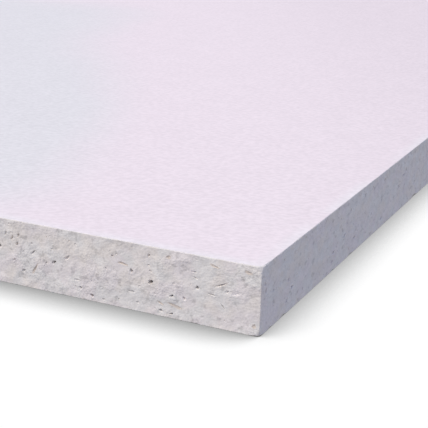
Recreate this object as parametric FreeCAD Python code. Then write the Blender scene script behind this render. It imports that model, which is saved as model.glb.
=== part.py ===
"""Gypsum fibre floor board: one sheet of dry screed board, pressed from gypsum and paper fibre,
sanded to thickness and sawn square on all four edges.

Millimetres, +Z up. The board lies flat: length along X, width along Y, thickness along Z.
The origin is the centre of the underside.
"""

import os

import FreeCAD
import Part

# Driving dimensions
LENGTH = 1200.0  # long side of the sheet
WIDTH = 600.0  # short side of the sheet
THICKNESS = 18.0  # sanded thickness
ARRIS_RADIUS = 0.5  # how far the sawn arrises are worn round


def floor_board():
    """The sheet: a square-edged slab with its underside on Z = 0, and every arris slightly worn."""
    corner = FreeCAD.Vector(-LENGTH / 2, -WIDTH / 2, 0)
    slab = Part.makeBox(LENGTH, WIDTH, THICKNESS, corner)
    return slab.makeFillet(ARRIS_RADIUS, slab.Edges)


PIECES = {"floor_board": floor_board}

os.makedirs("parts", exist_ok=True)
for node, make in PIECES.items():
    piece = make()
    piece.exportStep(f"parts/{node}.step")
    box = piece.BoundBox
    print(
        f"{node}: {box.XLength:.1f} x {box.YLength:.1f} x {box.ZLength:.1f} mm,",
        f"{piece.Volume / 1e9:.6f} m3, valid {piece.isValid()}",
    )
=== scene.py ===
"""A gypsum fibre floor board lying flat on a pale studio floor."""

import math

import bpy
import numpy as np
from mathutils import Matrix, Vector
from mathutils.geometry import delaunay_2d_cdt


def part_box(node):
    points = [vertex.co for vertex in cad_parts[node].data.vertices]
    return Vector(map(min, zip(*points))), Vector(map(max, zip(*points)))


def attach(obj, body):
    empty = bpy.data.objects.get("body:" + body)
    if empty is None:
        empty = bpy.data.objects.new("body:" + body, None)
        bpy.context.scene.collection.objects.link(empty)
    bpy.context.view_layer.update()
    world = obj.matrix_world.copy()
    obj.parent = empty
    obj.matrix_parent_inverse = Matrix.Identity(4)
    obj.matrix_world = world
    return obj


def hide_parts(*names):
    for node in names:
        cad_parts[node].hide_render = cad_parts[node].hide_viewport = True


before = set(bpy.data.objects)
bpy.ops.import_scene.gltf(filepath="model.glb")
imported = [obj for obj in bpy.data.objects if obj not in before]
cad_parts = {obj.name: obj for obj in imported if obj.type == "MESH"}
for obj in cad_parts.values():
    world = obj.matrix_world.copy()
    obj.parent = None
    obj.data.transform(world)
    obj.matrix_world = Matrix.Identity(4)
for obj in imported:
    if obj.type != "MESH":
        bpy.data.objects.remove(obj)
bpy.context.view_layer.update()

# ----------------------------------------------------------------------------------------------
# Outline and worn arrises
# The board is one sheet pressed from wet gypsum and paper fibre, then sawn square on all four
# edges. Handling has rubbed its arrises round and broken small crumbs out of them. The near corner
# is rubbed rounder at its top, and a small piece has been knocked off its foot.
# ----------------------------------------------------------------------------------------------

MM = 0.001  # the shape is worked out in millimetres and written to the mesh in metres

low, high = (np.array(corner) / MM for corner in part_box("floor_board"))
length, width, thickness = high - low

# Each edge runs anticlockwise, seen from above, from its own corner to the next.
# The first starts at the near corner, so the short edge that ends there is the last.
ALONG = np.array([[-1.0, 0.0], [0.0, -1.0], [1.0, 0.0], [0.0, 1.0]])
OUT = np.array([[0.0, 1.0], [-1.0, 0.0], [0.0, -1.0], [1.0, 0.0]])
CORNER = np.array([[high[0], high[1]], [low[0], high[1]], [low[0], low[1]], [high[0], low[1]]])
EDGE_LENGTH = np.array([length, width, length, width])
EDGE_START = np.concatenate([[0.0], np.cumsum(EDGE_LENGTH)])  # girth at which each edge starts
GIRTH = EDGE_START[-1]
FRONT = 3  # the short edge that ends at the near corner

STATION_GAP = 2.5  # distance between stations along an arris
CORNER_CLEAR = 3.0  # stations keep this far from a corner, which has its own
STATION_STEP = 0.3  # stations stand on multiples of this, so that none are too close
CORNER_STEPS = 4  # quads round each upright arris
ARRIS_STEPS = 3  # quads across an arris
UPRIGHT_STEPS = 14  # quads up an upright arris
ARRIS_WEAR = (0.14, 0.09)  # usual reach of the wear at the top and foot arris
WEAR_WANDER = 0.3  # share of the wear by which it comes and goes
REACH_GAP, DROP_GAP = 3.0, 3.5  # distances over which its reach and its drop come and go
UPRIGHT_WEAR = 0.24  # usual radius of the upright arrises
UPRIGHT_WANDER, UPRIGHT_GAP = 0.35, 2.2  # share by which it comes and goes, and over what distance
CRUMBS = 150  # crumbs broken out of the top arris, and as many out of the foot arris
CRUMB_LEAST, CRUMB_SPREAD = 0.7, 2.4  # smallest half length of a crumb, and what the largest adds
SHALLOWEST = 0.2  # depth of the shallowest crumb, as a share of the deepest
CRUMB_DROP = 0.8  # a crumb goes this much as deep as it reaches in
CLEAN_BREAK = 0.35  # a crumb that reaches this far in has left a straight break
STRAIGHTEST = 0.85  # how straight a break can be
CRUMBLE = 0.05  # roughness of the arris between its rims
NEAR_CORNER_BREAK = 0.9  # how far the knock cut into the foot of the near corner
NEAR_CORNER_RUB = 1.8  # how far its top is rubbed round
CORNER_BREAK, CORNER_RUB = 0.25, 0.1  # the same at the other three corners
BREAK_HEIGHT, RUB_HEIGHT = 1.6, 3.2  # how far up and down the corner they are felt
CORNER_LIMIT = 0.9  # at a corner the wear stays within this share of the upright radius

draw = np.random.default_rng(18)


def wander(at, gap, around, seed):
    """A smooth random line: random heights between -1 and 1 every `gap`, joined by straight lines
    and closed on itself over the length `around`."""
    knots = np.random.default_rng(seed).uniform(-1, 1, int(around / gap))
    return np.interp(at / around * len(knots), np.arange(len(knots) + 1), np.append(knots, knots[0]))


def bites(at, places, half_lengths, depths, around):
    """The deepest of many parabolic bites at each place: depth times 1 - (distance / half length)
    squared, with distance measured the short way round the closed line."""
    away = np.abs(at[:, None] - places[None, :])
    away = np.minimum(away, around - away)
    return np.max(np.clip(1 - (away / half_lengths) ** 2, 0, None) * depths, axis=1)


def crumbs(deepest, placed):
    """Random crumbs along one arris, with the crumbs listed in `placed` after them: columns of place,
    half length and depth. Most are small, because their size is the square of an even draw."""
    small = draw.random(CRUMBS) ** 2
    spread = draw.random(CRUMBS) * GIRTH
    half_length = CRUMB_LEAST + CRUMB_SPREAD * small
    depth = deepest * (SHALLOWEST + (1 - SHALLOWEST) * small * draw.random(CRUMBS))
    return np.vstack([np.column_stack([spread, half_length, depth]), placed])


# Place along the girth from the near corner (minus is back along the front edge), half length, depth
TOP_CRUMBS = crumbs(0.16, [[2.0, 3.0, 0.2], [GIRTH - 41.0, 1.6, 0.12]])
FOOT_CRUMBS = crumbs(0.3, [
    [1.0, 1.5, 0.6],
    [6.5, 1.4, 0.35],
    [15.0, 2.0, 0.5],
    [52.0, 1.6, 0.35],
    [67.0, 2.0, 0.4],
    [135.0, 3.4, 0.8],
])


def stations():
    """Places along the girth where the arris profile stands: a few round each corner, then evenly
    spaced ones along the edge with five more over every crumb. Returns, for each station, its
    sharp-edged plan point, the way out of the board, the corner's lean and the girth."""
    points, outs, leans, girths = [], [], [], []
    crumb_spots = np.concatenate([c[:, :1] + c[:, 1:2] * [-0.9, -0.5, 0, 0.5, 0.9]
                                  for c in (TOP_CRUMBS, FOOT_CRUMBS)]).ravel()
    for k in range(4):
        turn = np.linspace(0, math.pi / 2, CORNER_STEPS + 1)[:, None]
        outs.append(OUT[k - 1] * np.cos(turn) + OUT[k] * np.sin(turn))
        points.append(np.repeat(CORNER[k][None], CORNER_STEPS + 1, axis=0))
        leans.append(np.repeat((OUT[k - 1] + OUT[k])[None], CORNER_STEPS + 1, axis=0))
        girths.append(np.full(CORNER_STEPS + 1, EDGE_START[k]))
        even = np.linspace(CORNER_CLEAR, EDGE_LENGTH[k] - CORNER_CLEAR,
                           int(EDGE_LENGTH[k] / STATION_GAP))
        extra = crumb_spots % GIRTH - EDGE_START[k]
        extra = extra[(extra > CORNER_CLEAR) & (extra < EDGE_LENGTH[k] - CORNER_CLEAR)]
        at = np.unique(np.round(np.concatenate([even, extra]) / STATION_STEP)) * STATION_STEP
        points.append(CORNER[k] + ALONG[k] * at[:, None])
        outs.append(np.repeat(OUT[k][None], len(at), axis=0))
        leans.append(np.zeros((len(at), 2)))
        girths.append(EDGE_START[k] + at)
    return tuple(np.concatenate(part) for part in (points, outs, leans, girths))


plan, out, lean, girth = stations()
in_corner = np.any(lean != 0, axis=1)
first_of_edge = np.flatnonzero(in_corner)[CORNER_STEPS::CORNER_STEPS + 1]  # last station of each corner


def upright_radius(corner, height):
    """Radius of an upright arris: its usual wear, a small wander up the edge, and a knock at the
    foot and a rub at the top that both grow as (1 - distance / height) squared. They are largest
    at the near corner."""
    apart = 20 * corner  # each corner reads its own stretch of one line 100 mm long
    radius = UPRIGHT_WEAR * (1 + UPRIGHT_WANDER * wander(height + apart, UPRIGHT_GAP, 100.0, 5))
    knocked = np.where(corner == 0, NEAR_CORNER_BREAK, CORNER_BREAK)
    rubbed = np.where(corner == 0, NEAR_CORNER_RUB, CORNER_RUB)
    foot = np.clip(1 - height / BREAK_HEIGHT, 0, None) ** 2
    top = np.clip(1 - (thickness - height) / RUB_HEIGHT, 0, None) ** 2
    return radius + knocked * foot + rubbed * top


corner_of = np.searchsorted(EDGE_START[:4], girth, side="right") - 1


def arris(crumb, wear, height, seed):
    """Rings of the arris profile, from the flat face to the edge: a quarter ellipse whose reach and
    drop wander, turned towards a straight break where a crumb is missing. Returns inset and drop."""
    bite = bites(girth, crumb[:, 0] % GIRTH, crumb[:, 1], crumb[:, 2], GIRTH)
    reach = wear * (1 + WEAR_WANDER * wander(girth, REACH_GAP, GIRTH, seed)) + bite
    drop = wear * (1 + WEAR_WANDER * wander(girth, DROP_GAP, GIRTH, seed + 1)) + CRUMB_DROP * bite
    limit = CORNER_LIMIT * upright_radius(corner_of, np.full(len(girth), height))
    reach = np.where(in_corner, np.minimum(reach, limit), reach)
    step = np.linspace(0, 1, ARRIS_STEPS + 1)[:, None]
    broken = np.clip(bite / CLEAN_BREAK, 0, STRAIGHTEST)
    round_in = 1 - np.sin(step * math.pi / 2)
    round_down = 1 - np.cos(step * math.pi / 2)
    rough = np.random.default_rng(seed + 2).random(len(girth))
    crumbly = np.sin(step * math.pi) * CRUMBLE * rough
    inset = reach * (round_in * (1 - broken) + (1 - step) * broken) + crumbly
    fall = drop * (round_down * (1 - broken) + step * broken) + crumbly
    return inset, fall


def ring_places(inset, height):
    """Plan point of every station pushed in by its inset, round the corner's own centre."""
    radius = np.where(in_corner, upright_radius(corner_of, np.clip(height, 0, thickness)), 0.0)
    flat = plan - radius[..., None] * lean + (radius - inset)[..., None] * out
    return np.concatenate([flat, height[..., None]], axis=-1)


top_in, top_fall = arris(TOP_CRUMBS, ARRIS_WEAR[0], thickness, 31)
foot_in, foot_fall = arris(FOOT_CRUMBS, ARRIS_WEAR[1], 0.0, 41)
top_rings = ring_places(top_in, thickness - top_fall)
foot_rings = ring_places(foot_in, foot_fall)[::-1]
rings = np.concatenate([top_rings, foot_rings])
station_count = len(girth)
ring_worn = np.sin(np.linspace(0, math.pi, ARRIS_STEPS + 1)) > 0.1

vertices = [rings.reshape(-1, 3)]
worn = [np.repeat(np.concatenate([ring_worn, ring_worn]).astype(float), station_count)]
pore_shade = [np.zeros(rings.shape[0] * station_count)]
stained = [np.zeros(rings.shape[0] * station_count)]
faces, face_chart, face_flat = [], [], []
TOP_CHART, FOOT_CHART = 4, 5


def keep_vertices(places, worn_by, pore_shade_by, stained_by):
    """Adds vertices to the sheet and returns the number of the first."""
    first = sum(len(block) for block in vertices)
    vertices.append(places.reshape(-1, 3))
    for kept, value in ((worn, worn_by), (pore_shade, pore_shade_by), (stained, stained_by)):
        kept.append(np.broadcast_to(value, places.shape[:-1]).ravel().astype(float))
    return first


def keep_faces(corners, chart, flat):
    """Adds faces to the sheet, with the side of the board they lie on and whether they are flat."""
    faces.append(corners)
    face_chart.append(np.broadcast_to(chart, len(corners)))
    face_flat.append(np.full(len(corners), flat))


def quads_between(upper, lower):
    """Quads from each pair of neighbours in an upper row to the same pair in the row below."""
    return np.stack([lower[:-1], lower[1:], upper[1:], upper[:-1]], axis=-1).reshape(-1, 4)


loop = np.append(np.arange(station_count), 0)
for ring in (*range(ARRIS_STEPS), *range(ARRIS_STEPS + 1, 2 * ARRIS_STEPS + 1)):
    keep_faces(quads_between(ring * station_count + loop, (ring + 1) * station_count + loop),
               corner_of, False)

# The upright arrises: each corner's stations carried from the top arris down to the foot arris,
# with the rows closer together towards both ends
upper_ring, lower_ring = ARRIS_STEPS * station_count, (ARRIS_STEPS + 1) * station_count
upright = []  # rows of vertex numbers at each corner, from the top down
for k in range(4):
    here = np.flatnonzero(in_corner)[k * (CORNER_STEPS + 1):(k + 1) * (CORNER_STEPS + 1)]
    share = 0.5 - 0.5 * np.cos(math.pi * np.linspace(0, 1, UPRIGHT_STEPS + 1)[1:-1, None])
    height = rings[ARRIS_STEPS, here, 2] * (1 - share) + rings[ARRIS_STEPS + 1, here, 2] * share
    radius = upright_radius(np.full(height.shape, k), height)[..., None]
    place = plan[here] + radius * (out[here] - lean[here])
    first = keep_vertices(np.concatenate([place, height[..., None]], axis=-1),
                          (np.arange(CORNER_STEPS + 1) % CORNER_STEPS > 0)[None, :], 0, 0)
    rows = first + np.arange(height.size).reshape(height.shape)
    rows = np.vstack([upper_ring + here, rows, lower_ring + here])
    upright.append(rows)
    for upper, lower in zip(rows[:-1], rows[1:]):
        keep_faces(quads_between(upper, lower), [(k - 1) % 4] * 2 + [k] * 2, False)

# ----------------------------------------------------------------------------------------------
# Sawn edges
# The saw opens the pores left by air and drained water: mostly pinholes, with some ragged voids
# and slits where a clump of paper fibre was torn out. A few slits still hold brown fibre.
# ----------------------------------------------------------------------------------------------

FULL_SHADE_DEPTH = 1.2  # a pore this deep gets the darkest painted shade
PORE_CLEAR = 0.75  # pores keep this far from the arrises, where they would be crumbs
VOIDS_PER_AREA = (0.011, 0.016)  # ragged voids in a square millimetre of long and short edge
PINHOLES_PER_AREA = (0.036, 0.045)
VOID_SIZES = (0.38, 0.95, 0.22)  # smallest and largest mean radius, and height share of the slimmest
PINHOLE_SIZES = (0.17, 0.40, 0.45)
TURNS = (10, 45)  # middle and spread of the turn of a random pore, in degrees
DEPTHS = (0.9, 1.7)  # its least and greatest depth, in mean radii
FIBRES = (-0.5, 0.6)  # middle and spread of the fibre left in it, where less than none is none
LIP = 1.25  # a pore's soft lip is this much wider than its dark mouth
RIM_SHIFT = 0.3  # how far rim points shift round, as a share of their spacing
RIM_SWELLS = (0.16, 0.13)  # how strongly a rim swells twice and three times round
RIM_STRAY = (0.88, 1.08)  # how far in and out each rim point strays from that
FLOOR_SHIFT = 0.22  # how far off centre a pore's floor lies, as a share of its half height
WALL_STRAY = 0.14  # how far the points of its walls stray, as a share of their reach
SAFE_REACH, SAFE_GAP = 1.15, 0.08  # circle kept free round a pore: share of half length, plus this
LARGE_PORE = 0.44  # mean radius from which a pore is cut with more points
LARGE_POINTS, LARGE_RINGS = 12, (1.0, 0.82, 0.5, 0.2)  # points round a pore, and its rings inwards
SMALL_POINTS, SMALL_RINGS = 7, (1.0, 0.5)

# The openings that stand out by the near corner. Each is its distance from that corner, height,
# half length, half height, turn in degrees and depth.
FRONT_PORES = [
    (30, 8.5, 0.8, 0.5, 15, 1.3), (75.5, 10, 0.7, 0.5, 10, 0.9), (58.5, 8.5, 0.6, 0.4, 25, 1.2),
    (68, 4.5, 0.6, 0.4, 0, 0.8), (17, 9.5, 0.6, 0.4, 15, 0.9), (24, 6, 0.5, 0.4, 20, 0.9),
    (47, 1.5, 0.5, 0.5, 0, 1.0), (43.5, 1.2, 0.4, 0.3, 0, 0.8), (50.5, 3, 0.5, 0.4, 0, 0.7),
    (27, 1.5, 0.5, 0.4, 0, 0.8), (24, 1.2, 0.5, 0.3, 10, 0.8), (35.5, 10.5, 0.5, 0.5, 0, 0.9),
    (41, 13.5, 0.4, 0.3, 0, 0.7), (30.5, 15.5, 0.5, 0.3, 60, 0.6), (9, 10, 0.4, 0.5, 70, 0.5),
    (20.5, 6, 0.6, 0.4, -25, 0.6), (70, 11.5, 0.6, 0.3, 50, 0.7), (71, 7, 0.6, 0.3, 35, 0.6),
    (30.5, 13, 0.3, 0.3, 0, 0.5), (30, 11.5, 0.4, 0.3, 0, 0.6), (6.5, 10, 1.1, 0.6, 20, 0.2),
]
FRONT_SLITS = [
    (10.5, 11.5, 1.6, 0.25, 25, 0.6), (13, 8.5, 1.0, 0.25, -12, 0.5), (18, 13.5, 0.8, 0.25, 0, 0.5),
    (17.5, 12, 0.9, 0.25, -12, 0.4), (10, 6, 0.8, 0.2, -42, 0.4), (65, 10, 0.9, 0.35, 40, 0.6),
    (54.5, 10.5, 1.1, 0.35, 38, 0.6), (51.5, 5, 0.9, 0.3, 0, 0.5), (35.5, 5, 1.0, 0.25, 0, 0.5),
    (71.5, 13, 0.7, 0.25, 60, 0.6), (69.5, 14, 0.7, 0.25, 75, 0.6), (73.5, 14, 0.6, 0.25, 70, 0.5),
]
FRONT_FIBRES = [
    (64.5, 5.5, 1.5, 0.35, 60, 0.3), (38, 12, 1.3, 0.35, -12, 0.3), (27, 3.5, 0.9, 0.25, -20, 0.2),
    (23, 3.5, 2.2, 0.35, -16, 0.15), (12.5, 16, 1.1, 0.35, -14, 0.15), (25, 16, 0.7, 0.4, 0, 0.2),
    (3.5, 16, 1.2, 0.4, -14, 0.2), (1.6, 2.5, 0.6, 0.5, 20, 0.2),
]
LONG_PORES = [
    (52, 5.5, 1.0, 0.5, 0, 1.2), (70, 4.5, 0.9, 0.4, 0, 1.1), (51, 3, 0.9, 0.4, 0, 1.1),
    (96.5, 3, 1.0, 0.5, 0, 1.1), (20.5, 6, 1.0, 0.4, 0, 1.1), (18, 9, 0.8, 0.4, 0, 1.0),
    (3, 11, 0.6, 0.5, 80, 1.0), (58.5, 10, 0.8, 0.3, 80, 0.8), (119.5, 11.5, 0.9, 0.4, 0, 1.0),
    (2.5, 13, 0.5, 0.4, 80, 0.8), (8, 9.5, 0.9, 0.3, 0, 0.7), (17, 3.5, 0.8, 0.4, 40, 0.8),
]
PLACED_REACH = 77.0  # the placed openings are all nearer to the corner than this
FIBRE_LEFT = 0.9  # how much of a fibre slit is still full


def placed(edge):
    """The listed openings of one edge, in the columns that `scattered` returns."""
    by_edge = {FRONT: (FRONT_PORES + FRONT_SLITS, FRONT_FIBRES), 0: (LONG_PORES, [])}
    pores, fibres = by_edge.get(edge, ([], []))
    table = np.array(pores + fibres).reshape(-1, 6)
    if edge == FRONT:
        table[:, 0] = EDGE_LENGTH[edge] - table[:, 0]
    filled = np.repeat([0.0, FIBRE_LEFT], [len(pores), len(fibres)])
    return np.column_stack([table * [1, 1, LIP, LIP, 1, 1], filled])


def scattered(edge, per_area, smallest, largest, slimmest):
    """Random pores over one edge: centres anywhere clear of the arrises, sizes between the smallest
    and largest with the small ones commonest, any turn, and some drawn out into slits."""
    count = int(per_area[edge % 2] * EDGE_LENGTH[edge] * thickness)
    size = smallest + (largest - smallest) * draw.random(count) ** 3
    slim = 1 - (1 - slimmest) * draw.random(count) ** 2
    long, tall = LIP * size / np.sqrt(slim), LIP * size * np.sqrt(slim)
    margin = PORE_CLEAR + long
    ends = margin + CORNER_CLEAR
    along = ends + draw.random(count) * (EDGE_LENGTH[edge] - 2 * ends)
    up = margin + draw.random(count) * (thickness - 2 * margin)
    turn = draw.normal(*TURNS, count)
    deep = size * draw.uniform(*DEPTHS, count)
    fibre = np.clip(draw.normal(*FIBRES, count), 0, 1)
    return np.column_stack([along, up, long, tall, turn, deep, fibre])


def kept_apart(pores, sure):
    """Drops every pore whose circle meets the circle of an earlier one. The first `sure` pores are
    the listed ones and stay whatever they meet."""
    gap = np.hypot(pores[:, None, 0] - pores[None, :, 0], pores[:, None, 1] - pores[None, :, 1])
    reach = SAFE_REACH * pores[:, 2] + SAFE_GAP
    meets = np.tril(gap < reach[:, None] + reach[None, :], -1).any(axis=1)
    meets[:sure] = False
    return pores[~meets]


def bowls(pores, points, shares):
    """Rims and walls of many pores at once. A rim point stands at angle a, at a reach that swells and
    shrinks twice and three times round; each inner ring is the rim drawn towards an off-centre floor,
    and sinks as a bowl with a soft lip: depth times (1 - share to the 1.4) to the 1.4. Returns along,
    up and depth."""
    count = len(pores)
    along, up, long, tall, turn, deep = pores[:, :6, None].transpose(1, 0, 2)
    a = 2 * math.pi * (np.arange(points) + draw.uniform(-RIM_SHIFT, RIM_SHIFT, (count, points))) / points
    phase = draw.uniform(0, 2 * math.pi, (2, count, 1))
    swell = 1 + RIM_SWELLS[0] * np.sin(2 * a + phase[0]) + RIM_SWELLS[1] * np.sin(3 * a + phase[1])
    swell *= draw.uniform(*RIM_STRAY, (count, points))
    x, y = long * swell * np.cos(a), tall * swell * np.sin(a)
    tilt = np.radians(turn)
    x, y = x * np.cos(tilt) - y * np.sin(tilt), x * np.sin(tilt) + y * np.cos(tilt)
    floor = draw.uniform(-FLOOR_SHIFT, FLOOR_SHIFT, (2, count, 1)) * tall
    rows = []
    for share in shares:
        rough = 1 + draw.uniform(-WALL_STRAY, WALL_STRAY, (count, points)) * (share < 1)
        rows.append(np.stack([
            along + floor[0] * (1 - share) + x * share * rough,
            up + floor[1] * (1 - share) + y * share * rough,
            deep * (1 - share**1.4) ** 1.4 * rough,
        ], axis=-1))
    return np.stack(rows, axis=1)


def cut_pores(edge, pores, points, shares):
    """Adds the walls and floors of one edge's pores and returns the vertex numbers and flat places
    of their rims."""
    cups = bowls(pores, points, shares)
    count, rows = len(pores), len(shares)
    place = CORNER[edge] + ALONG[edge] * cups[..., :1] - OUT[edge] * cups[..., 2:]
    inner = (np.array(shares) < 1)[:, None]
    # painted shade: points of a pore's inner rings are painted darker the deeper they lie; rims get none
    pore_shade_share = np.clip(cups[..., 2] / FULL_SHADE_DEPTH, 0, 1) * inner
    first = keep_vertices(np.concatenate([place, cups[..., 1:2]], axis=-1), 0, pore_shade_share,
                          pores[:, 6, None, None] * inner)
    number = first + np.arange(count * rows * points).reshape(count, rows, points)
    after = np.roll(number, -1, axis=2)
    walls = np.stack([number[:, :-1], after[:, :-1], after[:, 1:], number[:, 1:]], axis=-1)
    keep_faces(walls.reshape(-1, 4), edge, False)
    keep_faces(number[:, -1], edge, False)
    return number[:, 0], cups[:, 0, :, :2]


def fill_flat(numbers, flat_places, holes, hole_places, extra, extra_places, chart, turned=False):
    """Fills a flat outline with triangles, leaving the holes open: a constrained Delaunay
    triangulation, of which only the triangles inside the outline alone are kept."""
    where = np.vstack([flat_places, *[p.reshape(-1, 2) for p in hole_places], extra_places])
    owner = np.concatenate([numbers, *[h.ravel() for h in holes], extra])
    loops = [list(range(len(numbers)))]
    at = len(numbers)
    for hole in holes:
        loops += (at + np.arange(hole.size).reshape(hole.shape)).tolist()
        at += hole.size
    found = delaunay_2d_cdt([Vector(p) for p in where.tolist()], [], loops, 0, 1e-6)
    source = np.array([before[0] if before else -1 for before in found[3]])
    assert source.min() >= 0, "an outline crosses a pore"
    inside = [face for face, loops_of in zip(found[2], found[5]) if loops_of == [0]]
    corners = owner[source[np.array(inside)]]
    keep_faces(corners[:, ::-1] if turned else corners, chart, True)


for edge in range(4):
    by_hand = placed(edge)
    voids = scattered(edge, VOIDS_PER_AREA, *VOID_SIZES)
    if edge == FRONT:
        voids = voids[voids[:, 0] < EDGE_LENGTH[edge] - PLACED_REACH]
    pinholes = scattered(edge, PINHOLES_PER_AREA, *PINHOLE_SIZES)
    pores = kept_apart(np.vstack([by_hand, voids, pinholes]), len(by_hand))
    large = pores[:, 2] * pores[:, 3] > LARGE_PORE**2
    rims_large = cut_pores(edge, pores[large], LARGE_POINTS, LARGE_RINGS)
    rims_small = cut_pores(edge, pores[~large], SMALL_POINTS, SMALL_RINGS)
    run = np.append(first_of_edge[edge], np.flatnonzero((corner_of == edge) & ~in_corner))
    this_corner, next_corner = upright[edge], upright[(edge + 1) % 4]
    top_row = np.append(upper_ring + run, next_corner[0, 0])
    foot_row = np.append(lower_ring + run, next_corner[-1, 0])
    outline = np.concatenate([foot_row, next_corner[1:-1, 0][::-1],
                              top_row[::-1], this_corner[1:-1, -1]])
    place = np.concatenate(vertices)[outline]
    flat = np.column_stack([(place[:, :2] - CORNER[edge]) @ ALONG[edge], place[:, 2]])
    fill_flat(outline, flat, [rims_large[0], rims_small[0]], [rims_large[1], rims_small[1]],
              np.empty(0, int), np.empty((0, 2)), edge)

# ----------------------------------------------------------------------------------------------
# Sanded faces
# Both broad faces are sanded flat to bring the sheet to thickness, so they are smooth and even.
# ----------------------------------------------------------------------------------------------

FACE_GRID = 50.0  # spacing of the points that carry each flat face between its arrises

for ring, height, chart in ((0, thickness, TOP_CHART), (2 * ARRIS_STEPS + 1, 0.0, FOOT_CHART)):
    across = np.arange(low[0] + FACE_GRID / 2, high[0], FACE_GRID)
    deep = np.arange(low[1] + FACE_GRID / 2, high[1], FACE_GRID)
    grid = np.stack(np.meshgrid(across, deep), axis=-1).reshape(-1, 2)
    first = keep_vertices(np.column_stack([grid, np.full(len(grid), height)]), 0, 0, 0)
    border = ring * station_count + np.arange(station_count)
    fill_flat(border, rings.reshape(-1, 3)[border, :2], [], [], first + np.arange(len(grid)), grid,
              chart, turned=chart == FOOT_CHART)

# The bake's own map: each side of the board laid flat in one square, the top face largest
CHART_ORIGIN = np.array([[0.01, 0.845], [0.01, 0.885], [0.01, 0.925], [0.01, 0.965],
                         [0.01, 0.01], [0.01, 0.53]])
CHART_SIZE = np.array([[0.98, 0.03]] * 4 + [[0.98, 0.49], [0.6, 0.3]])


def bake_map(place, chart):
    """Place of each face corner in the unit square: how far along and across its side it lies."""
    side = np.minimum(chart, 3)
    along = np.einsum("ij,ij->i", place[:, :2] - CORNER[side], ALONG[side]) / EDGE_LENGTH[side]
    share = np.column_stack([along, place[:, 2] / thickness])
    broad = (place[:, :2] - low[:2]) / (high[:2] - low[:2])
    share = np.where((chart >= TOP_CHART)[:, None], broad, share)
    return CHART_ORIGIN[chart] + share * CHART_SIZE[chart]


mesh = bpy.data.meshes.new("gypsum_fibre_sheet")
places = np.concatenate(vertices)
mesh.from_pydata((places * MM).tolist(), [], [face for block in faces for face in block.tolist()])
chart = np.concatenate(face_chart)
corner_vertex = np.empty(len(mesh.loops), dtype=np.int32)
mesh.loops.foreach_get("vertex_index", corner_vertex)
sides = np.empty(len(mesh.polygons), dtype=np.int32)
mesh.polygons.foreach_get("loop_total", sides)
mesh.uv_layers.new(name="OFBake").uv.foreach_set(
    "vector", bake_map(places[corner_vertex], np.repeat(chart, sides)).astype(np.float32).ravel())
for name, values in (("worn", worn), ("pore_shade", pore_shade), ("stained", stained)):
    layer = mesh.attributes.new(name, "FLOAT", "POINT")
    layer.data.foreach_set("value", np.concatenate(values).astype(np.float32))
mesh.attributes.new("sharp_face", "BOOLEAN", "FACE").data.foreach_set(
    "value", np.concatenate(face_flat))
mesh.polygons.foreach_set("material_index", (chart < TOP_CHART).astype(np.int32))
mesh.update()
mesh.validate()

sheet = bpy.data.objects.new("gypsum_fibre_sheet", mesh)
bpy.context.scene.collection.objects.link(sheet)


class Recipe:
    """A material under construction: `put` adds a shader node, sets its values and links its
    inputs, each named or numbered, and returns the node's first output."""

    def __init__(self, name):
        self.material = bpy.data.materials.new(name)
        self.material.use_nodes = True
        self.tree = self.material.node_tree
        self.tree.nodes.clear()

    def put(self, kind, inputs=None, output=0, **settings):
        made = self.tree.nodes.new(kind)
        for key, value in settings.items():
            setattr(made, key, value)
        for key, value in (inputs or {}).items():
            if isinstance(value, bpy.types.NodeSocket):
                self.tree.links.new(value, made.inputs[key])
            else:
                made.inputs[key].default_value = value
        return made.outputs[output] if made.outputs else None

    def grain(self, where, per_metre, detail=2.0, roughness=0.5):
        """Cloudy noise with this many lumps in a metre."""
        return self.put("ShaderNodeTexNoise", {"Vector": where, "Scale": per_metre, "Detail": detail,
                                               "Roughness": roughness})

    def sums(self, operation, *values, clamp=False):
        """One step of arithmetic on sockets or numbers."""
        return self.put("ShaderNodeMath", dict(enumerate(values)), operation=operation, use_clamp=clamp)

    def drawn_out(self, where, way, share):
        """The same place with most of its distance along one way taken out, which stretches any
        pattern read there along that way."""
        along = self.put("ShaderNodeVectorMath", {0: where, 1: way}, 1, operation="DOT_PRODUCT")
        back = self.put("ShaderNodeVectorMath", {0: tuple(-share * w for w in way), "Scale": along},
                        operation="SCALE")
        return self.put("ShaderNodeVectorMath", {0: where, 1: back}, operation="ADD")

    def ramp(self, value, start, end, low_value, high_value):
        """A smooth step from one value to another between start and end."""
        return self.put("ShaderNodeMapRange", {0: value, 1: start, 2: end, 3: low_value, 4: high_value},
                        interpolation_type="SMOOTHSTEP")

    def blend(self, share, first, second):
        """Mixes two colours: all of the first where the share is 0, all of the second where 1."""
        return self.put("ShaderNodeMix", {0: share, 6: first, 7: second}, 2, data_type="RGBA")

    def shade(self, colour, by):
        """Multiplies a colour by a grey value."""
        return self.put("ShaderNodeVectorMath", {0: colour, "Scale": by}, operation="SCALE")

    def finish(self, colour, height, relief, roughness):
        """Ends the recipe in a matt surface with this colour and this relief, in metres."""
        bump = self.put("ShaderNodeBump", {"Height": height, "Distance": relief, "Strength": 1.0})
        surface = self.put("ShaderNodeBsdfPrincipled", {
            "Base Color": colour, "Roughness": roughness, "Specular IOR Level": 0.25, "Normal": bump})
        self.put("ShaderNodeOutputMaterial", {"Surface": surface})
        return self.material


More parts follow.
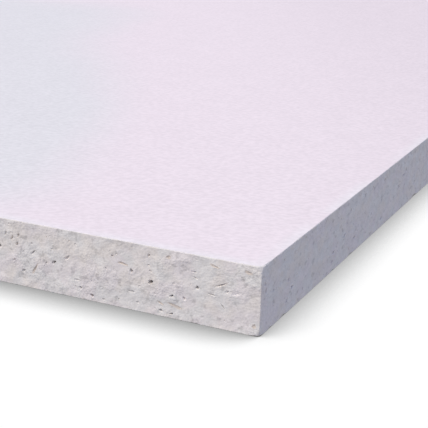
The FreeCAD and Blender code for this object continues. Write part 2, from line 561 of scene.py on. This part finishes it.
LAVENDER_WHITE = (0.834, 0.735, 0.75, 1)
COOL_WHITE = (0.755, 0.73, 0.725, 1)
RIM_WHITE = (0.84, 0.79, 0.79, 1)
TINT_WAY = (-0.461, 0.887, 0.0)  # across the sheet, from the cool side to the lavender one
TINT_DRIFT, DRIFT_CLOUDS = 0.9, 2.0  # strength and number in a metre of the broad clouds
TINT_PLACE = (-6.0, -1.0, 1.0)  # which part of the endless cloud pattern lies on this sheet
TINT_WANDER, WANDER_CLOUDS = 0.1, 4.0  # the same for the finer clouds on top of them
TINT_FROM, TINT_TO = 0.39, 0.445  # where the cool white has begun to turn, and is all lavender
FAR_PAINTED_SHADE = -0.055  # painted shade: how much darker the top is painted towards its far, lavender side
MARGIN = 0.005  # width of the paler margin
MARGIN_PATCHES = 22.0  # patches in a metre where it shows more or less
SANDED_WAY, DRAWN_OUT = (-0.3, 0.954, 0.0), 0.4  # how the sanding belt drew the flecks out
FLECKS, LUMPS = 900.0, 140.0  # in a metre
FLECK_RELIEF = 0.00005


def sanded_face():
    """Pale lavender gypsum that turns cooler across the sheet in broad soft clouds, with fine fibre
    flecks and a paler margin where the sanding belt ran off the edge."""
    make = Recipe("sanded_gypsum_face")
    where = make.put("ShaderNodeTexCoord", output=3)
    across = make.put("ShaderNodeVectorMath", {0: where, 1: TINT_WAY}, 1, operation="DOT_PRODUCT")
    clouds = make.sums("MULTIPLY", make.grain(where, WANDER_CLOUDS, 3.0), TINT_WANDER)
    place = make.put("ShaderNodeVectorMath", {0: where, 1: TINT_PLACE}, operation="ADD")
    drift = make.sums("MULTIPLY", make.grain(place, DRIFT_CLOUDS, 1.0), TINT_DRIFT)
    drift = make.sums("ADD", make.sums("ADD", across, clouds), drift)
    tint = make.ramp(drift, TINT_FROM, TINT_TO, 0.0, 1.0)
    colour = make.blend(tint, COOL_WHITE, LAVENDER_WHITE)
    apart = make.put("ShaderNodeSeparateXYZ", {0: where})
    x_left = make.sums("SUBTRACT", float(high[0] * MM), make.sums("ABSOLUTE", apart))
    y_left = make.sums("SUBTRACT", float(high[1] * MM), make.sums("ABSOLUTE", apart.node.outputs[1]))
    margin = make.ramp(make.sums("MINIMUM", x_left, y_left), 0.0, MARGIN, 0.8, 0.0)
    patches = make.ramp(make.grain(where, MARGIN_PATCHES), 0.4, 0.55, 0.1, 1.0)
    margin = make.sums("MULTIPLY", margin, patches)
    colour = make.blend(margin, colour, RIM_WHITE)
    flecks = make.grain(make.drawn_out(where, SANDED_WAY, DRAWN_OUT), FLECKS, 2.0, 0.6)
    lumps = make.grain(where, LUMPS)
    light = make.sums("ADD", make.ramp(flecks, 0.3, 0.7, 0.945, 1.04),
                      make.ramp(lumps, 0.3, 0.7, -0.01, 0.01))
    # painted shade: the top is painted darker towards its far, lavender side, away from the near corner
    light = make.sums("ADD", light, make.ramp(across, -0.02, 0.11, 0.0, FAR_PAINTED_SHADE))
    colour = make.shade(colour, light)
    return make.finish(colour, flecks, FLECK_RELIEF, 0.75)


EDGE_WARM = (0.81, 0.755, 0.705, 1)
EDGE_COOL = (0.79, 0.76, 0.73, 1)
EDGE_ROSE = (0.80, 0.745, 0.73, 1)
# painted shade: the colour that the deepest pore floors are darkened to
PORE_PAINTED_SHADE = (0.20, 0.17, 0.15, 1)
FIBRE_BROWN = (0.63, 0.54, 0.46, 1)
ARRIS_GREY = (0.68, 0.64, 0.61, 1)
GREY_SHARE, BROWN_SHARE, PORE_SHADE_SHARE = 0.5, 0.8, 0.9  # how much of each the worn, stained and deep get; for the deep it is painted shade
PATCHES, COOL_PATCHES = 110.0, 160.0  # in a metre, as the counts after them are
EDGE_LUMPS, EDGE_SPECKS, EDGE_FINE = 420.0, 560.0, 1500.0
PRESSED_WAY, PRESSED = (1.0, 0.0, 0.0), 0.35  # the fibres lie along the board
SAWN_WAY, SAWN, SMEARS = (0.66, 0.66, 0.35), 0.85, 520.0  # the saw's smears rise at a slant
TORN_PATCHES = 90.0
EDGE_RELIEF = 0.0005


def sawn_edge():
    """Raw section of the sheet: warm, cool and rose patches a few millimetres across, fine grey
    grain, painted shade that darkens the pore floors the deeper they lie, brown fibre in some
    slits and greyer gypsum along the rubbed arrises."""
    make = Recipe("sawn_gypsum_edge")
    where = make.put("ShaderNodeTexCoord", output=3)
    rosy = make.ramp(make.grain(where, PATCHES), 0.4, 0.6, 0.0, 1.0)
    cool = make.ramp(make.grain(where, COOL_PATCHES, 1.0), 0.45, 0.62, 0.0, 1.0)
    colour = make.blend(rosy, EDGE_WARM, EDGE_ROSE)
    colour = make.blend(cool, colour, EDGE_COOL)
    pressed = make.drawn_out(where, PRESSED_WAY, PRESSED)
    lumps = make.grain(pressed, EDGE_LUMPS, 3.0, 0.6)
    fine = make.grain(where, EDGE_FINE, 2.0, 0.6)
    smears = make.grain(make.drawn_out(where, SAWN_WAY, SAWN), SMEARS, 2.0, 0.6)
    light = make.sums("ADD", make.ramp(lumps, 0.3, 0.7, 0.945, 1.03),
                      make.ramp(fine, 0.3, 0.7, -0.04, 0.04))
    light = make.sums("ADD", light, make.ramp(smears, 0.35, 0.65, -0.02, 0.02))
    specks = make.ramp(make.grain(pressed, EDGE_SPECKS), 0.57, 0.72, 0.0, -0.2)
    colour = make.shade(colour, make.sums("ADD", light, specks))
    worn_share = make.put("ShaderNodeAttribute", output=2, attribute_name="worn")
    colour = make.blend(make.sums("MULTIPLY", worn_share, GREY_SHARE), colour, ARRIS_GREY)
    stain = make.put("ShaderNodeAttribute", output=2, attribute_name="stained")
    colour = make.blend(make.sums("MULTIPLY", stain, BROWN_SHARE), colour, FIBRE_BROWN)
    # painted shade: pore points darkened by how deep they lie
    depth = make.put("ShaderNodeAttribute", output=2, attribute_name="pore_shade")
    colour = make.blend(make.ramp(depth, 0.15, 1.0, 0.0, PORE_SHADE_SHARE), colour, PORE_PAINTED_SHADE)
    torn = make.ramp(make.grain(where, TORN_PATCHES), 0.42, 0.62, 0.25, 1.0)
    relief = make.sums("ADD", lumps, make.sums("MULTIPLY", fine, 0.4))
    relief = make.sums("ADD", make.sums("MULTIPLY", relief, torn), make.sums("MULTIPLY", smears, 0.5))
    return make.finish(colour, relief, EDGE_RELIEF, 0.85)


mesh.materials.append(sanded_face())
mesh.materials.append(sawn_edge())
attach(sheet, "root")
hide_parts("floor_board")

# ----------------------------------------------------------------------------------------------
# Studio
# A pale seamless floor, a dim cool surround and one broad soft lamp high over the short edge, so
# the long edge falls into cool half shade.
# ----------------------------------------------------------------------------------------------

FLOOR_SIZE = 12.0
FLOOR_GLOW = (0.42, 0.405, 0.42, 1)  # what the floor sends back to the board
FLOOR_SEEN = (0.04, 0.04, 0.04)  # the share that the eye sees of the light that falls on the floor
FLOOR_LIFT = 0.97  # plain white added for the eye only, so that the open floor reads as white
SHADOW_REACH = 0.0205  # the contact shadow fades out this far from the board
SHADOW_LEAN = (-0.02, 0.15, 0.988)  # narrows it along the long edge by the near corner
SHADOW_DEPTH = 1.8  # power that darkens the contact shadow close to the board
SHADOW_FADE = 1.36  # lifts the faint outer part of the contact shadow to white
SURROUND = (0.61, 0.71, 1.0, 1)
SURROUND_LIGHT = 0.66
LAMP_COLOUR = (1.0, 0.92, 0.78)
LAMP_LIGHT = 2.43
LAMP_SPREAD = math.radians(50)
LAMP_TOWARDS = Vector((0.47, -0.33, 0.83))


def studio_floor():
    """A flat floor just under the board. The eye, and reflections, see plain white and a little of
    the light that falls on it, both times the contact shadow: the open share of what lies above, to a power,
    times a lift. All other light meets an even glow, as a wide pale floor would send back."""
    half = FLOOR_SIZE / 2
    ground = bpy.data.meshes.new("studio_floor")
    ground.from_pydata([(-half, -half, 0), (half, -half, 0), (half, half, 0), (-half, half, 0)],
                       [], [(0, 1, 2, 3)])
    make = Recipe("studio_floor")
    lean = make.put("ShaderNodeCombineXYZ", dict(enumerate(SHADOW_LEAN)))
    open_share = make.put("ShaderNodeAmbientOcclusion", {"Distance": SHADOW_REACH, "Normal": lean}, 1,
                          samples=16)
    open_share = make.sums("POWER", open_share, SHADOW_DEPTH)
    open_share = make.sums("MULTIPLY", open_share, SHADOW_FADE, clamp=True)
    path = make.put("ShaderNodeLightPath")
    seen = make.sums("ADD", path, path.node.outputs["Is Glossy Ray"])
    seen = make.sums("ADD", seen, path.node.outputs["Is Transmission Ray"], clamp=True)
    matt = make.put("ShaderNodeBsdfDiffuse", {"Color": make.shade(FLOOR_SEEN, open_share)})
    lift = make.put("ShaderNodeEmission", {"Strength": make.sums("MULTIPLY", open_share, FLOOR_LIFT)})
    shown = make.put("ShaderNodeAddShader", {0: matt, 1: lift})
    glow = make.put("ShaderNodeEmission", {"Color": FLOOR_GLOW})
    surface = make.put("ShaderNodeMixShader", {0: seen, 1: glow, 2: shown})
    make.put("ShaderNodeOutputMaterial", {"Surface": surface})
    ground.materials.append(make.material)
    floor = bpy.data.objects.new("studio_floor", ground)
    bpy.context.scene.collection.objects.link(floor)


def surround():
    """A plain cool sky for light, shown to the eye as white."""
    world = bpy.data.worlds.new("surround")
    world.use_nodes = True
    tree = world.node_tree
    tree.nodes.clear()
    light, white = tree.nodes.new("ShaderNodeBackground"), tree.nodes.new("ShaderNodeBackground")
    light.inputs["Color"].default_value = SURROUND
    light.inputs["Strength"].default_value = SURROUND_LIGHT
    white.inputs["Color"].default_value = (1, 1, 1, 1)
    path, mix = tree.nodes.new("ShaderNodeLightPath"), tree.nodes.new("ShaderNodeMixShader")
    result = tree.nodes.new("ShaderNodeOutputWorld")
    tree.links.new(path.outputs["Is Camera Ray"], mix.inputs[0])
    tree.links.new(light.outputs[0], mix.inputs[1])
    tree.links.new(white.outputs[0], mix.inputs[2])
    tree.links.new(mix.outputs[0], result.inputs["Surface"])
    bpy.context.scene.world = world


studio_floor()
surround()
lamp = bpy.data.lights.new("soft_lamp", "SUN")
lamp.energy = LAMP_LIGHT
lamp.color = LAMP_COLOUR
lamp.angle = LAMP_SPREAD
lamp_stand = bpy.data.objects.new("soft_lamp", lamp)
lamp_stand.rotation_euler = LAMP_TOWARDS.to_track_quat("Z", "Y").to_euler()
bpy.context.scene.collection.objects.link(lamp_stand)

# The camera stands low in front of the near corner and looks back along the board.
CAMERA_OFF_CORNER = Vector((0.2265, 0.0928, 0.0920))  # from the near top corner
CAMERA_HEADING = 25.04  # degrees from straight back along the board, towards its far side
CAMERA_DIP = 17.92
CAMERA_ROLL = 1.63
CAMERA_LENS = 93.1

camera = bpy.data.cameras.new("camera")
camera.lens = CAMERA_LENS
camera.clip_start = 0.01
stand = bpy.data.objects.new("camera", camera)
heading, dip = math.radians(CAMERA_HEADING), math.radians(CAMERA_DIP)
look = Vector((-math.cos(heading) * math.cos(dip), -math.sin(heading) * math.cos(dip), -math.sin(dip)))
near_corner = Vector((float(high[0]), float(high[1]), float(high[2]))) * MM
stand.matrix_world = (
    Matrix.Translation(near_corner + CAMERA_OFF_CORNER)
    @ look.to_track_quat("-Z", "Y").to_matrix().to_4x4()
    @ Matrix.Rotation(math.radians(CAMERA_ROLL), 4, "Z")
)
bpy.context.scene.collection.objects.link(stand)
bpy.context.scene.camera = stand
bpy.context.scene.view_settings.view_transform = "Standard"
